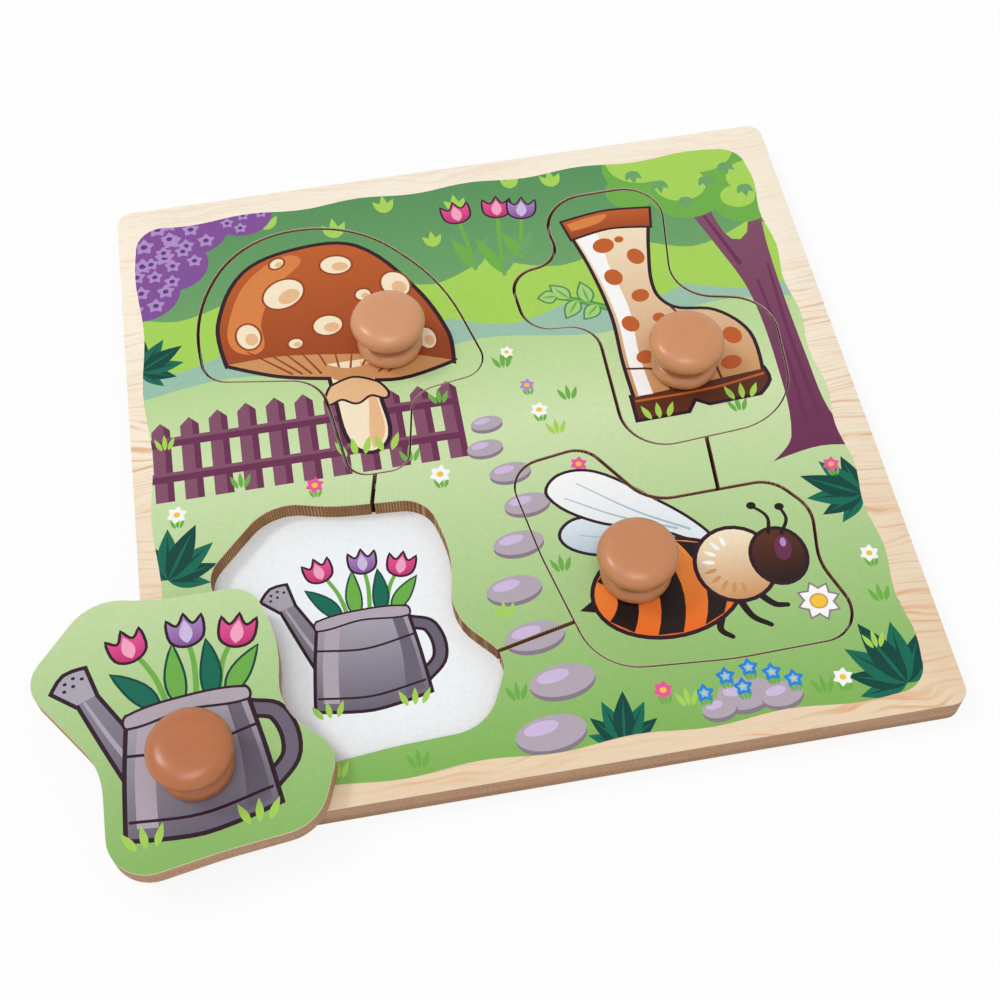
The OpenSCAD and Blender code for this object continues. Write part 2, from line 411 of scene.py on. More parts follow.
NAMES = ("mushroom", "boot", "bee", "can")
board_rim, saw_rim = top_loops("frame_board")
picture_rim = top_loops("frame_print")[0]
piece_rims = {name: top_loops(name + "_print")[0] for name in NAMES}
print("saw line round all the recesses has", len(saw_rim), "points")

# %% [markdown]
# Three helpers work on loops. One moves a loop into the wood, which gives eased edges. One cuts a flat
# face into triangles, holes and all, with Blender's constrained triangulation. The last counts the
# turns that a loop makes round a spot, which tells if a triangle is wood or a hole.

# %% Work on loops
SHARPEST = 0.9
SAME_SPOT = 1e-5


def inset(loop, by):
    """The loop moved to its left, which is into the wood, by a distance. SHARPEST keeps the move of a
    pointed corner short."""
    moved = []
    for i, (x, y) in enumerate(loop):
        before, after = loop[i - 1], loop[(i + 1) % len(loop)]
        first = Vector((before[1] - y, x - before[0])).normalized()
        second = Vector((y - after[1], after[0] - x)).normalized()
        both = first + second
        reach = 2 * by / max(both.length_squared, SHARPEST)
        moved.append((x + both.x * reach, y + both.y * reach))
    return moved


def turns(loop, spots):
    """How often a loop winds round each spot: 0 outside, 1 inside, -1 inside a clockwise loop."""
    count = np.zeros(len(spots), int)
    x, y = spots[:, 0], spots[:, 1]
    for (x0, y0), (x1, y1) in zip(loop[-1:] + loop[:-1], loop):
        side = (x1 - x0) * (y - y0) - (x - x0) * (y1 - y0)
        count += (y0 <= y) & (y1 > y) & (side > 0)
        count -= (y0 > y) & (y1 <= y) & (side < 0)
    return count


def triangulate(loops):
    """The plane cut along every loop: points, triangles, and the loops' point that each point was."""
    points = [Vector(p) for loop in loops for p in loop]
    edges = []
    for loop in loops:
        first = len(edges)
        edges += [(first + k, first + (k + 1) % len(loop)) for k in range(len(loop))]
    spots, _, faces, origin, _, _ = delaunay_2d_cdt(points, edges, [], 0, SAME_SPOT, True)
    return np.array([tuple(s) for s in spots]), np.array(faces), origin


print("the saw line cuts its plane into", len(triangulate([saw_rim])[1]), "triangles")

# %% [markdown]
# A board is a stack of such loops at rising heights, joined by walls and closed by a flat face at each
# end. A wooden edge is never knife sharp, so where it is free its last fraction of a millimetre steps
# inward; where two boards are glued their edges run on.

# %% Boards from loops
BOARD_CREASE = radians(28)


def link(name, mesh, body, slot, *nodes, place=(0, 0, 0), turn=0):
    """Puts a finished mesh in the scene as a piece that rides on a body and stands for CAD nodes."""
    piece = bpy.data.objects.new(name, mesh)
    piece.location = place
    piece.rotation_euler.z = turn
    bpy.context.scene.collection.objects.link(piece)
    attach(piece, body)
    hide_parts(*nodes)


def smooth_mesh(name, shape, crease):
    """A mesh of a shape, smooth where its faces meet at less than the crease angle."""
    bmesh.ops.recalc_face_normals(shape, faces=shape.faces)
    for face in shape.faces:
        face.smooth = True
    mesh = bpy.data.meshes.new(name)
    shape.to_mesh(mesh)
    shape.free()
    mesh.set_sharp_from_angle(angle=crease)
    return mesh


def stack(name, rings, finishes):
    """A solid from rings of (height, loops) in millimetres. The outer wall takes the first finish and
    the walls of the holes the last."""
    shape = bmesh.new()
    levels = []
    for height, loops in rings:
        level = [[shape.verts.new((x * MM, y * MM, height * MM)) for x, y in loop] for loop in loops]
        levels.append(level)
    for lower, upper in zip(levels, levels[1:]):
        for number, (ring, ring_above) in enumerate(zip(lower, upper)):
            for k in range(len(ring)):
                wall = shape.faces.new((ring[k - 1], ring[k], ring_above[k], ring_above[k - 1]))
                wall.material_index = min(number, len(finishes) - 1)
    for (_, loops), level in ((rings[0], levels[0]), (rings[-1], levels[-1])):
        corners = [v for ring in level for v in ring]
        spots, faces, origin = triangulate(loops)
        wooden = sum(turns(loop, spots[faces].mean(axis=1)) for loop in loops) == 1
        for face in faces[wooden]:
            shape.faces.new([corners[origin[i][0]] for i in face])
    mesh = smooth_mesh(name, shape, BOARD_CREASE)
    for finish in finishes:
        mesh.materials.append(finish)
    return mesh


def heights(node):
    return [corner.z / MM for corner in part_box(node)]


print("the frame's core lies between", [round(z, 2) for z in heights("frame_board")], "mm")

# %% Backing and sawn frame
EDGE_EASE = 0.3
low, high = heights("backing_board")
rings = [(low, [inset(board_rim, EDGE_EASE)]), (low + EDGE_EASE, [board_rim]), (high, [board_rim])]
link("backing", stack("backing", rings, [backing_finish]), "tray", "backing", "backing_board")
rings = [(height, [board_rim, saw_rim]) for height in heights("frame_board")]
sawn = stack("sawn_frame", rings, [core_finish, shaded_wall_finish])
link("sawn_frame", sawn, "tray", "fibreboard", "frame_board")
print("sawn frame has", len(sawn.polygons), "faces")

# %% [markdown]
# The veneer on the frame is 0.3 mm thick. Only its outer edge is rounded over by sanding: along the
# saw line the printed paper holds it down to the cut.

# %% Frame veneer
SANDED = 0.24
low, high = heights("frame_veneer")
rings = [(low, [board_rim, saw_rim])]
rings += [(high - SANDED * down, [inset(board_rim, SANDED * back), saw_rim])
          for down, back in ((1, 0), (0.3, 0.3), (0, 1))]
border = stack("frame_veneer_border", rings, [veneer_finish])
link("frame_veneer_border", border, "tray", "veneer", "frame_veneer")
for name in NAMES:
    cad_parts[name + "_veneer"].material_slots[0].material = veneer_finish
    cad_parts[name + "_screw"].material_slots[0].material = screw_finish
print("veneer border has", len(border.polygons), "faces")

# %% [markdown]
# Each piece was sawn from the same board, so its core is the same stack with its own outline. From
# below it has the countersunk hole of the screw that holds the knob.

# %% Cores of the pieces
HOLE_R = 1.8
SINK_R = 3.62
HOLE_POINTS = 40


def arc(middle, radius, start, end, steps):
    """Points on an arc round a middle, from one angle to another."""
    angles = [start + (end - start) * k / steps for k in range(steps + 1)]
    return [(middle[0] + radius * cos(a), middle[1] + radius * sin(a)) for a in angles]


for name in NAMES:
    low, high = heights(name + "_board")
    screw_low, screw_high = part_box(name + "_screw")
    middle = (screw_low + screw_high) / 2 / MM
    hole, sink = [arc(middle, radius, 0, -tau, HOLE_POINTS)[:-1] for radius in (HOLE_R, SINK_R)]
    rim = piece_rims[name]
    rings = [(low, [inset(rim, EDGE_EASE), sink]), (low + EDGE_EASE, [rim, sink]),
             (low + SINK_R - HOLE_R, [rim, hole]), (high, [rim, hole])]
    core = stack(name + "_core", rings, [core_finish])
    link(name + "_core", core, name + "_piece", "fibreboard", name + "_board")
    print(name, "core has", len(core.polygons), "faces")

# %% [markdown]
# The knob is a lathe shape: a half section turned round an axis. The section runs from the foot round
# a bead, into the cove of a groove and out under the cap. These are arcs that touch each other, so a
# few radii describe them, the same ones as in the CAD model. The CAD model closes the cap with two more
# arcs. Where they meet the bend changes at a stroke, and a highlight would end there in a hard line, so
# here a superellipse of the same height runs over the cap, as sanding leaves it.

# %% Section of a knob
CAP_R = 11.7
FOOT_R = 9.0
BEAD_R = 2.7
COVE_R = 1.6
TOUCH_R = 7.7
ARC_STEPS = 14
COVE_STEPS = 16
CAP_STEPS = 30
bead_z = sqrt(BEAD_R ** 2 - (FOOT_R - TOUCH_R) ** 2)
cove_z = bead_z + BEAD_R + COVE_R
rim_z = cove_z + COVE_R + CAP_R - TOUCH_R
knob_low, knob_high = heights("mushroom_knob")
cap_rise = knob_high - knob_low - rim_z
section = [(0.0, 0.0)]
section += arc((TOUCH_R, bead_z), BEAD_R, atan2(-bead_z, FOOT_R - TOUCH_R), pi / 2, ARC_STEPS)[:-1]
section += arc((TOUCH_R, cove_z), COVE_R, 1.5 * pi, 0.5 * pi, COVE_STEPS)[:-1]
section += arc((TOUCH_R, rim_z), CAP_R - TOUCH_R, -pi / 2, 0, ARC_STEPS)[:-1]
for k in range(CAP_STEPS + 1):
    angle = pi / 2 * sin(pi / 2 * k / CAP_STEPS)
    section.append((CAP_R * sqrt(cos(angle)), rim_z + cap_rise * sin(angle)))
print("the section of a knob has", len(section), "points")

# %% Turned knobs
KNOB_SIDES = 96
KNOB_CREASE = radians(50)
GRAIN_TURN = radians(67)
MERGE_WITHIN = 0.001 * MM
turning = bmesh.new()
profile = [turning.verts.new((r * MM, 0, z * MM)) for r, z in section]
edges = [turning.edges.new(pair) for pair in zip(profile, profile[1:])]
bmesh.ops.spin(turning, geom=profile + edges, axis=(0, 0, 1), steps=KNOB_SIDES, angle=tau)
bmesh.ops.remove_doubles(turning, verts=turning.verts, dist=MERGE_WITHIN)
knob_mesh = smooth_mesh("turned_knob", turning, KNOB_CREASE)
for number, name in enumerate(NAMES):
    low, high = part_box(name + "_knob")
    mesh = knob_mesh.copy()
    mesh.materials.append(knob_finishes[name])
    foot = ((low.x + high.x) / 2, (low.y + high.y) / 2, low.z)
    turn = GRAIN_TURN * number
    link(name + "_turned_knob", mesh, name + "_piece", "knob", name + "_knob", place=foot, turn=turn)
    tall = (high.z - low.z) / MM
    print(name, "knob is", round(tall, 2), "mm tall in CAD and", round(section[-1][1], 2), "mm here")

# %% [markdown]
# Now the printed picture, an own design of a garden in flat inks with dark outlines. It is drawn like
# cut paper: each shape is a closed loop of points in millimetres on the board, and a later shape lies
# over an earlier one. The first helper draws a smooth curve through a handful of points.


# %% Smooth curves
def curve(points, closed=True, steps=6):
    """A smooth line through a few points. A point with a third number is a sharp corner."""
    count = len(points)

    def slope(k):
        here = points[k % count]
        before = points[(k - 1) % count] if closed or k > 0 else here
        after = points[(k + 1) % count] if closed or k < count - 1 else here
        if len(here) > 2:
            return Vector((0, 0))
        return Vector((after[0] - before[0], after[1] - before[1])).normalized()

    path = []
    for i in range(count if closed else count - 1):
        start, end = Vector(points[i][:2]), Vector(points[(i + 1) % count][:2])
        span = (end - start).length
        for t in (s / steps for s in range(steps)):
            far = 3 * t ** 2 - 2 * t ** 3
            leave = (t - 2 * t ** 2 + t ** 3) * span
            arrive = (t ** 3 - t ** 2) * span
            path.append(tuple(start * (1 - far) + end * far + slope(i) * leave + slope(i + 1) * arrive))
    return path if closed else path + [tuple(points[-1][:2])]


print("a curve through three points gets", len(curve([(0, 0), (2, 0), (1, 2)])), "points")

# %% [markdown]
# Most of what grows in a garden is drawn with three more: an oval, a pointed blade for leaves and
# petals, and a band with round ends for stems and lines.


# %% Ovals, blades and bands
def turned_by(turn, along, across):
    return (cos(turn) * along - sin(turn) * across, sin(turn) * along + cos(turn) * across)


def oval(x, y, wide, tall, turn=0, steps=28):
    loop = []
    for k in range(steps):
        u, v = turned_by(radians(turn), wide * cos(tau * k / steps), tall * sin(tau * k / steps))
        loop.append((x + u, y + v))
    return loop


def blade(x, y, length, wide, turn, lean=0, steps=8):
    """A leaf or petal from its foot at x, y: pointed at both ends and bent sideways by lean."""
    sides = [[], []]
    for t in (k / steps for k in range(steps + 1)):
        half = wide / 2 * sin(pi * t ** 0.8)
        for side, way in zip(sides, (-half, half)):
            u, v = turned_by(radians(turn), length * t, lean * t * t + way)
            side.append((x + u, y + v))
    return sides[0] + sides[1][-2:0:-1]


def band(points, start_wide, end_wide, steps=6):
    """A stroke with round ends along a smooth line, its width running from start to end."""
    line = [Vector(p) for p in curve(points, closed=False, steps=steps)]
    last = len(line) - 1
    left, right = [], []
    for k, spot in enumerate(line):
        way = (line[min(k + 1, last)] - line[max(k - 1, 0)]).normalized()
        half = (start_wide + (end_wide - start_wide) * k / last) / 2
        left.append(tuple(spot + Vector((-way.y, way.x)) * half))
        right.append(tuple(spot - Vector((-way.y, way.x)) * half))
    tips = []
    for spot, inner, half in ((line[-1], line[-2], end_wide / 2), (line[0], line[1], start_wide / 2)):
        facing = atan2(spot.y - inner.y, spot.x - inner.x)
        tips.append(arc(spot, half, facing + pi / 3, facing - pi / 3, 4))
    return left + tips[0] + right[::-1] + tips[1]


print("an oval has", len(oval(0, 0, 2, 1)), "points and a blade", len(blade(0, 0, 2, 1, 0)))


# %% Outlined and placed shapes
def grown(loop, by):
    return inset(loop, -by if area(loop) > 0 else by)


def lined(shapes, wide, ink="night"):
    """Shapes of (loop, ink) with one dark line round them all."""
    return [(grown(loop, wide), ink) for loop, _ in shapes] + shapes


def placed(shapes, x, y, size=1, turn=0):
    moved = []
    for loop, ink in shapes:
        steps = [turned_by(radians(turn), u * size, v * size) for u, v in loop]
        moved.append(([(x + u, y + v) for u, v in steps], ink))
    return moved


print("an outlined oval is", len(lined([(oval(0, 0, 2, 1), "white")], 0.5)), "shapes")

# %% [markdown]
# A print of this kind uses a small set of flat inks. Two names in a pair mean a shade that runs from
# the shape's lowest point to its highest.

# %% Inks
INKS = {
    "lawn": "76B047", "pale lawn": "D2E6B2", "far lawn": "A8D27C", "sunny": "A9D65A", "leaf": "6FB04A",
    "hedge": "6FA469", "deep hedge": "4F8C57", "mint": "9CC4AE", "teal": "0E6A54", "deep teal": "00433A",
    "purple": "84519A", "deep purple": "5F3A82", "lilac": "B391C9", "pale lilac": "D3BEE2",
    "plum": "6B2D52", "mauve": "84506A", "night": "2C0F20", "pink": "EE5A9E", "rose": "C4316F",
    "blush": "F7A8C6", "blue": "2E86D6", "sky": "8CC4F0", "stone": "8A7C88", "pale stone": "B6AAB6",
    "cap": "C2602A", "deep cap": "98421C", "warm cap": "DC8445", "peach": "EDBE8E", "tan": "CF965F",
    "cream": "FBEBCB", "orange": "EE6C22", "warm orange": "F79A45", "stripe": "1A0D0A",
    "brown": "5A2E1C", "wing": "E4EEF2", "wing vein": "A9C3D2", "grey": "8D8794", "light grey": "AFA9B6",
    "dark grey": "6C6474", "yellow": "F7C93E", "white": "FDFDFC", "floor white": "F7FCFF",
    # The last ink is a near-black brown, painted shade for the slits under the frame.
    "torn paper": "E2DCCB", "seam": "94745A", "painted slit shade": "1E140D",
}


def laid_on(ink, loop, spots):
    """The linear colour of an ink at each spot of a shape."""
    first, last = (ink, ink) if isinstance(ink, str) else ink
    low = min(y for _, y in loop)
    high = max(y for _, y in loop)
    share = np.clip((spots[..., 1:] - low) / (high - low), 0, 1)
    return (1 - share) * np.array(colour(INKS[first])) + share * np.array(colour(INKS[last]))


print(len(INKS), "inks")

# %% [markdown]
# The first piece shows a mushroom: a spotted cap, gills under it, and a stalk with a frill. It is drawn
# round the middle of its quarter of the board, and every piece's picture is drawn in the same way.


# %% Mushroom
def grass(feet, y, tall):
    """Blades of grass in front of a thing, each from (x, direction)."""
    return [(blade(x, y, tall, tall * 0.32, turn), "sunny") for x, turn in feet]


def mushroom():
    rim = [(28, -15.5), (6, -11.5), (-16, -8.5)]
    dome = [(-33, -9, 0), (-34.5, 9), (-24, 31), (-4, 38.5), (17, 36), (35, 13), (43.5, -9), (43.5, -21, 0)]
    cap = curve(dome + rim)
    below = curve([(-33, -9, 0)] + rim[::-1] + [(43.5, -21, 0), (25, -25), (6, -21.5), (-16, -16.5)])
    stalk = curve([(1, -15, 0), (2.5, -30), (5, -48), (11.5, -53.5), (17.5, -48), (16.5, -32), (16, -15, 0)])
    shapes = lined([(cap, ("deep cap", "cap")), (below, "tan"), (stalk, "cream")], 1.5)
    shade = [(12, -16, 0), (13, -32), (12, -52), (16.7, -47), (15.9, -32), (15.4, -16, 0)]
    shine = [(-30.5, -3), (-31.5, 9), (-22, 28.5), (-4, 35.5), (-14, 22), (-20, 8), (-21, -5)]
    shapes += [(curve(shade), "peach"), (curve(shine), "warm cap")]
    gills = ([(x, -9 - x * 0.17), (2.7 + x * 0.55, -19 - x * 0.08)] for x in range(-26, 40, 6))
    shapes += [(band(line, 0.5, 0.9, 3), "deep cap") for line in gills]
    shapes.append((curve([(0.3, -15, 0), (2.5, -22), (16, -24), (16.4, -17, 0), (8, -18)]), "tan"))
    frill = [(1, -25, 0), (9, -22.5), (17, -26, 0), (19.5, -32), (14, -30.5), (9, -33), (4, -30.5),
             (-1, -31.5)]
    shapes += lined([(curve(frill), "peach")], 0.9)
    spots = ((-11, 19, 7.5, 6, 30), (9, 29, 5.5, 4, -10), (-25, 2, 4, 5.5, 10), (3, 2, 5, 4.2, 0),
             (29, 16, 4.6, 6, 25), (36.5, -10, 3, 4.6, 10), (-12, 33.5, 2.6, 2, 30),
             (-9, -4, 2.4, 2, 0), (17, 13.5, 2.6, 2.4, 0))
    for x, y, wide, tall, turn in spots:
        hollow = oval(x + 0.25 * wide, y - 0.25 * tall, 0.55 * wide, 0.5 * tall, turn)
        shapes += [(oval(x, y, wide + 0.8, tall + 0.8, turn), "deep cap"),
                   (oval(x, y, wide, tall, turn), "cream"), (hollow, "peach")]
    return shapes + grass(((3, 118), (6, 95), (9, 72), (15, 104), (18, 66)), -54.5, 7.5)


print("mushroom has", len(mushroom()), "shapes")

# %% [markdown]
# The second piece shows a tall spotted garden boot with a dark sole, and a sprig behind it.


# %% Boot
def boot():
    stem = band([(-7, -9), (-17, -3.5), (-29, 2)], 1.4, 0.9)
    leaves = ((-15, -4, 9.5, 98), (-22, -1, 9, 128), (-19, -2.5, 9, 232), (-12, -6, 8, 222),
              (-26.5, 1, 6.5, 178))
    sprig = [(stem, "leaf")] + [(blade(x, y, long, 5.2, turn), "far lawn") for x, y, long, turn in leaves]
    shapes = lined(sprig, 0.7, "deep hedge")
    shapes += [(blade(x, y, long * 0.84, 1.0, turn), "leaf") for x, y, long, turn in leaves]
    leather = curve([(-16.5, 36, 0), (0, 38.5), (16.5, 37, 0), (12, 18), (9.5, -3), (15, -12.5), (30, -17),
                     (39.5, -29), (39.5, -47, 0), (-7.5, -50, 0), (-8, -34), (-7.5, -12), (-11, 14)])
    sole = curve([(-8.5, -50, 0), (40.5, -46, 0), (41, -51), (36.5, -56, 0), (18, -57, 0), (13, -54, 0),
                  (9.5, -59, 0), (-8.5, -59.5, 0)], steps=3)
    shapes += lined([(leather, ("tan", "cream")), (sole, "brown")], 1.4)
    shine = [(-15.2, 34.8, 0), (-10.2, 14), (-6.4, -12), (-6.8, -34), (-6.3, -49.6, 0), (-1, -49.6, 0),
             (-2, -32), (-1, -10), (-4, 12), (-6, 30)]
    shapes.append((curve(shine), "white"))
    dots = ((-4, 22, 4.2, 3.6), (7, 14.5, 3.2, 4), (-3.5, 6, 3.4, 4), (4.5, -4.5, 3.4, 3),
            (-2, -17, 3.2, 3.8), (20, -19.5, 4.2, 3), (33.5, -29, 3.4, 4), (0, -33, 3.4, 3),
            (30, -41, 4, 3), (9, -16, 2.4, 2.2), (2.5, 24, 1.8, 1.6), (24, -28, 2, 1.8), (18, -47, 3, 1.6))
    shapes += [(oval(x, y, wide, tall, 15), "cap") for x, y, wide, tall in dots]
    cuff = [(-17.2, 36.4, 0), (0, 39), (17.2, 37.4, 0), (15.6, 28.5, 0), (0, 30.5), (-15.2, 27.5, 0)]
    shapes += lined([(curve(cuff), ("deep cap", "cap"))], 1.0)
    shapes.append((curve([(-15.6, 35.2, 0), (0, 37.6), (-3, 33.8), (-14.6, 31.4, 0)]), "warm cap"))
    seams = ([(14.5, -12), (22, -27), (25, -49)], [(-7.6, -37), (3, -40), (6, -49.5)])
    shapes += [(band(line, 0.9, 0.9), "brown") for line in seams]
    shapes.append((band([(-7.5, -51.8), (20, -51), (40, -48)], 1, 1), "cap"))
    shapes += grass(((-4, 112), (-1, 88), (2, 64)), -60.5, 7)
    return shapes + grass(((27, 110), (30, 84), (33, 60)), -57.5, 7)


print("boot has", len(boot()), "shapes")

# %% [markdown]
# The third piece shows a bumble bee from the side, as a nature book draws it. Its stripes have to bend
# round the oval body, so they are made by formula: the body's half height at each end of the stripe,
# pushed sideways most in the middle.

# %% Bee
WITHIN_LINE = 0.985


def stripe(wide, tall, start, end, bulge):
    """A curved stripe round an oval of those half sizes, from start to end along it."""
    sides = []
    for u in (start, end):
        half = tall * sqrt(1 - (u / wide) ** 2) * WITHIN_LINE
        sides.append([(u + bulge * (1 - (k / 4) ** 2), half * k / 4) for k in range(-4, 5)])
    return sides[0] + sides[1][::-1]


def bee():
    legs = ([(2, -27), (1, -31), (4, -34)], [(9, -20), (12, -28), (17, -32)],
            [(15, -19), (20, -25), (24, -26)])
    shapes = [(band(line, 2.6, 1.6), "stripe") for line in legs]
    shapes.append(([(-33, -11), (-41.5, -16.5), (-33, -19)], "stripe"))
    hind = curve([(2, 0), (-16, 1), (-34, 4), (-42, 11), (-36, 17), (-20, 14), (-4, 6)])
    fore = curve([(5, 2), (-10, 9), (-30, 16), (-43, 28), (-38, 35), (-26, 34), (-10, 21), (2, 9)])
    shapes += lined([(hind, ("wing vein", "wing"))], 1.1) + lined([(fore, ("wing", "white"))], 1.1)
    veins = ([(0, 7), (-16, 17), (-33, 31)], [(-4, 8), (-22, 16), (-38, 26)], [(-2, 3), (-18, 6), (-36, 11)])
    shapes += [(band(line, 0.9, 0.4), "wing vein") for line in veins]
    shapes += lined([(oval(-12, -13, 24, 17, 4, 40), ("orange", "warm orange"))], 1.4)
    for start, end in ((-21.5, -15), (-8, 0), (7.5, 14.5)):
        shapes += placed([(stripe(24, 17, start, end, 4.5), "stripe")], -12, -13, 1, 4)
    shapes += lined([(oval(11.5, -8.5, 12.5, 13), ("tan", "cream"))], 1.4)
    shapes += lined([(oval(26, -8, 8.5, 9.8), ("stripe", "brown"))], 1.3)
    for k in range(9):
        turn = 105 + k * 21
        fur = blade(11.5 + 6.5 * cos(radians(turn)), -8.5 + 7 * sin(radians(turn)), 4.6, 1.5, turn)
        shapes.append((fur, "white" if k < 4 else "tan"))
    shapes += [(oval(28, -5.5, 2.8, 4.6, -8), "plum"), (oval(28.6, -3.4, 1, 1.7, -8), "lilac")]
    for line in ([(25, 1), (26, 7), (22, 12)], [(29, 0), (32, 5), (31, 10)]):
        shapes += [(band(line, 1.3, 1), "stripe"), (oval(*line[-1], 1.6, 1.4), "stripe")]
    petals = [(blade(34, -26.5, 6.4, 3.8, k * 45 + 10), "white") for k in range(8)]
    shapes += lined(petals, 0.6, "stone")
    return shapes + lined([(oval(34, -26.5, 2.5, 2.3), "yellow")], 0.5, "tan")


print("bee has", len(bee()), "shapes")

# %% [markdown]
# The fourth piece shows a grey watering can with tulips in it. Its picture is printed a second time,
# smaller, on the floor of its recess, to show a child where the piece belongs.


# %% Watering can
def tulip_head(ink, dark, light, wide=1.0):
    left_half = [(0, 0), (-5, 2.5), (-5.6, 9.5, 0), (-2.6, 7.2)]
    right_half = [(-x, y, *sharp) for x, y, *sharp in left_half[:0:-1]]
    cup = curve(left_half + [(0, 11, 0)] + right_half, steps=4)
    return lined([(cup, (dark, ink))], wide, "night") + [(blade(0, 0.8, 8.6, 4.4, 90), light)]


PINK_TULIP = ("pink", "rose", "blush")
LILAC_TULIP = ("lilac", "purple", "pale lilac")


def can():
    stems = ([(-5, -2), (-8, 10), (-13, 20)], [(4, -2), (5, 12), (4, 22)], [(11, -2), (14, 10), (18, 17)])
    shapes = [(band(line, 2, 1.6), "leaf") for line in stems]
    leaves = ((-8, 21, 122, 3, "teal"), (-1, 22, 98, -3, "leaf"), (8, 21, 74, 4, "teal"),
              (14, 19, 58, -2, "leaf"))
    blades = [(blade(x, -2, long, 6, turn, lean), ink) for x, long, turn, lean, ink in leaves]
    shapes += lined(blades, 0.8, "deep teal")
    for x, y, turn, inks in ((-14, 18, 14, PINK_TULIP), (4, 19, 0, LILAC_TULIP), (19, 15, -16, PINK_TULIP)):
        shapes += placed(tulip_head(*inks), x, y, 1, turn)
    handle = band([(20, -8), (28.5, -12), (30.5, -26), (22, -35)], 4, 4)
    spout = band([(-14, -26), (-22, -10), (-30.5, 8)], 11, 5.5)
    rose = curve([(-27.5, 8.5, 0), (-30, 18.5, 0), (-36.5, 17.5), (-40.5, 12.5, 0), (-33.5, 6.5, 0)], steps=3)
    shapes += lined([(handle, "dark grey")], 1.4)
    shapes += lined([(spout, ("dark grey", "grey")), (rose, "light grey")], 1.4)
    shapes.append((band([(-15, -25), (-24, -8.5), (-31, 6.5)], 2, 1), "light grey"))
    for x, y in ((-31, 15.5), (-34, 13.5), (-37, 12.2), (-33.8, 16.3), (-36.6, 14.8)):
        shapes.append((oval(x, y, 0.7, 0.6, 0, 10), "night"))
    body = [(-18, -2, 0), (0, 0), (19, -1, 0), (22, -22), (24, -41, 0), (0, -45), (-23, -42, 0), (-21, -22)]
    shapes += lined([(curve(body), ("dark grey", "light grey"))], 1.5)
    shine = [(-15.5, -5, 0), (-9, -4.2, 0), (-12, -22), (-13.5, -40.5, 0), (-20, -39.5, 0), (-18.5, -22)]
    shade = [(13, -4, 0), (17.5, -4.2, 0), (20.5, -22), (22, -39.8, 0), (14, -41.5, 0), (15, -22)]
    shapes += [(curve(shine), "pale stone"), (curve(shade), "dark grey")]
    rim = [(-18.6, -1.6), (0, 0.8), (19.6, -0.6), (19.8, -4.4), (0, -3.2), (-18.8, -5.4)]
    shapes += lined([(curve(rim), "pale stone")], 0.9)
    for left, right, y in ((-20.6, 21, -14), (-21.8, 22.5, -36)):
        shapes.append((band([(left, y - 1), (0, y - 3.4), (right, y)], 1, 1), "night"))
    return shapes + grass(((-21, 122), (-18, 96), (-15, 68), (14, 112), (17, 84), (20, 58)), -46.5, 8)


print("watering can has", len(can()), "shapes")

# %% [markdown]
# Behind the four things lies the garden: a pale lawn, a hedge, a fence, a flowering bush, a tree and a
# path of stepping stones. It is drawn over the whole board in one go, because the paper was printed
# before it was sawn and the picture runs on across the cuts. What comes up again and again gets a
# helper: flowers, tufts of grass, clumps of leaves and stones.


# %% Plants and stones
def daisy(x, y, size, petal, middle="yellow", count=6):
    petals = [(blade(x, y, size, size * 0.7, k * 360 / count + 15), petal) for k in range(count)]
    return petals + [(oval(x, y, size * 0.32, size * 0.3, 0, 14), middle)]


def tuft(x, y, size, ink):
    """Three short blades of grass."""
    shapes = []
    for k in (-1, 1, 0):
        long = size * (1 - 0.12 * abs(k))
        shapes.append((blade(x + size * 0.16 * k, y, long, size * 0.26, 90 - 24 * k), ink))
    return shapes


def flower(x, y, size, petal):
    return tuft(x, y - size * 1.5, size * 1.3, "leaf") + daisy(x, y, size, petal)


def fan(x, y, size, turn):
    """A clump of dark pointed leaves that spread from one foot."""
    shapes = []
    for k in (-3, 3, -2, 2, -1, 1, 0):
        long = size * (1 - 0.12 * abs(k))
        inks = ("teal", "deep teal") if k % 2 else ("deep teal", "teal")
        shapes += [(blade(x, y, long, long * 0.36, turn + 25 * k), inks[0]),
                   (blade(x, y, long * 0.86, long * 0.05, turn + 25 * k), inks[1])]
    return shapes


def stone(x, y, wide, flat):
    tall = wide * flat
    return [(oval(x, y - 1, wide, tall, 4), "stone"), (oval(x, y, wide, tall * 0.92, 4), "pale stone"),
            (oval(x - wide * 0.25, y + tall * 0.3, wide * 0.5, tall * 0.36, 8), "pale lilac")]


def tulip(x, y, tall, lean, inks):
    shapes = [(band([(x, y), (x + lean * 0.4, y + tall * 0.5), (x + lean, y + tall)], 1.5, 1.3), "leaf"),
              (blade(x, y, tall * 0.75, 4, 112), "leaf"), (blade(x, y, tall * 0.7, 4, 66), "hedge")]
    return shapes + placed(tulip_head(*inks, 0.8), x + lean, y + tall, 0.8, -lean * 3)


print("a fan of leaves has", len(fan(0, 0, 10, 90)), "shapes")

# %% [markdown]
# The ground is laid from the front to the back: two stretches of lawn that pale towards the middle, a
# far hill, and two rows of shrubs. All of it runs past the wavy rim of the paper, which trims it.

# %% Lawn and shrubs
PAPER = 118


def scallops(low, rise, starts):
    """The lower edge of a row of shrubs from left to right: soft bellies between sharp nicks."""
    points = []
    for a, b in zip(starts, starts[1:]):
        points += [(a, low + rise, 0), ((a + b) / 2, low)]
    return curve(points + [(starts[-1], low + rise, 0), (starts[-1], PAPER, 0), (starts[0], PAPER, 0)])


